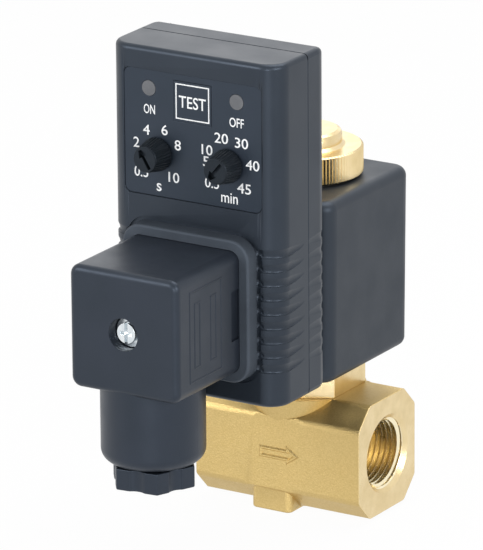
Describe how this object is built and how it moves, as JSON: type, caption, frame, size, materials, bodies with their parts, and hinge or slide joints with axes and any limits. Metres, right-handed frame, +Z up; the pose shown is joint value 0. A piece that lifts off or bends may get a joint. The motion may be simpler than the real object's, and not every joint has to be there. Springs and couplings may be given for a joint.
{
  "type": "automatic drain valve",
  "caption": "Timer-controlled brass drain valve: threaded pipe body, solenoid coil on a guide tube, plug-on timer with setting dials and a square cable connector.",
  "frame": {"origin": "on the stem axis, in the flat underside of the valve body's lug", "axes": "+X along the pipe towards the outlet, -Y towards the timer's front face, +Z up the valve stem"},
  "size_m": [0.044, 0.095, 0.1179],
  "materials": {
    "brass_body": "hot-forged and sandblasted, with machined ends",
    "brass_turned": "turned and knurled",
    "stainless": "turned stainless steel",
    "zinc_steel": "bright zinc plate",
    "copper": "copper ring and enamelled wire",
    "tinned_brass": "tin plate",
    "seal_rubber": "smooth nitrile rubber",
    "frame_rubber": "matte grey-black rubber",
    "coil_plastic": "moulded, fine matte texture",
    "bobbin_plastic": "natural glass-filled nylon",
    "timer_plastic": "moulded, satin",
    "label_film": "satin printed film",
    "lamp_lens": "grey translucent lens",
    "lamp_body": "clear epoxy",
    "knob_plastic": "moulded, satin",
    "plug_plastic": "moulded glass-filled nylon, fine texture",
    "insert_plastic": "moulded nylon",
    "board_laminate": "green solder mask",
    "capacitor_sleeve": "shrink sleeve"
  },
  "bodies": {
    "valve": {"valve_body": "brass_body", "stem_base_nut": "brass_turned", "guide_tube": "stainless", "tube_o_ring": "seal_rubber", "fixed_core": "stainless", "shading_ring": "copper", "return_spring": "stainless", "coil_housing": "coil_plastic", "coil_yoke": "zinc_steel", "coil_bobbin": "bobbin_plastic", "coil_winding": "copper", "coil_terminals": "tinned_brass", "coil_gasket": "seal_rubber", "nut_washer": "stainless", "knurled_nut": "brass_turned", "timer_front_housing": "timer_plastic", "timer_rear_cover": "timer_plastic", "cover_screws": "zinc_steel", "front_label": "label_film", "indicator_windows": "lamp_lens", "circuit_board": "board_laminate", "setting_pots": "insert_plastic", "test_switch": "insert_plastic", "on_lamp": "lamp_body", "off_lamp": "lamp_body", "filter_capacitor": "capacitor_sleeve", "coil_driver": "insert_plastic", "timer_sockets": "tinned_brass", "timer_pins": "tinned_brass", "connector_frame": "frame_rubber", "connector_housing": "plug_plastic", "connector_insert": "insert_plastic", "terminal_clamps": "tinned_brass", "terminal_screws": "zinc_steel", "centre_screw": "zinc_steel", "screw_washer": "zinc_steel", "gland_grommet": "seal_rubber", "gland_washer": "zinc_steel", "gland_nut": "plug_plastic"},
    "plunger": {"plunger": "stainless", "plunger_seal": "seal_rubber"},
    "on_time_knob": {"on_time_knob": "knob_plastic"},
    "off_time_knob": {"off_time_knob": "knob_plastic"},
    "test_button": {"test_button": "label_film"}
  },
  "joints": [
    {"name": "plunger_lift", "type": "slide", "parent": "valve", "child": "plunger", "axis": [0, 0, 1], "range_m": [0, 0.0025], "stiffness_N_per_m": 300, "springref_m": -0.006, "deforming": ["return_spring"]},
    {"name": "on_time_turn", "type": "hinge", "parent": "valve", "child": "on_time_knob", "pos_m": [-0.0091, -0.04755, 0.0937], "axis": [0, 1, 0], "range_deg": [-108, 172]},
    {"name": "off_time_turn", "type": "hinge", "parent": "valve", "child": "off_time_knob", "pos_m": [0.0091, -0.04755, 0.0937], "axis": [0, 1, 0], "range_deg": [0, 280]},
    {"name": "test_press", "type": "slide", "parent": "valve", "child": "test_button", "axis": [0, 1, 0], "range_m": [0, 0.0004], "stiffness_N_per_m": 1500}
  ]
}
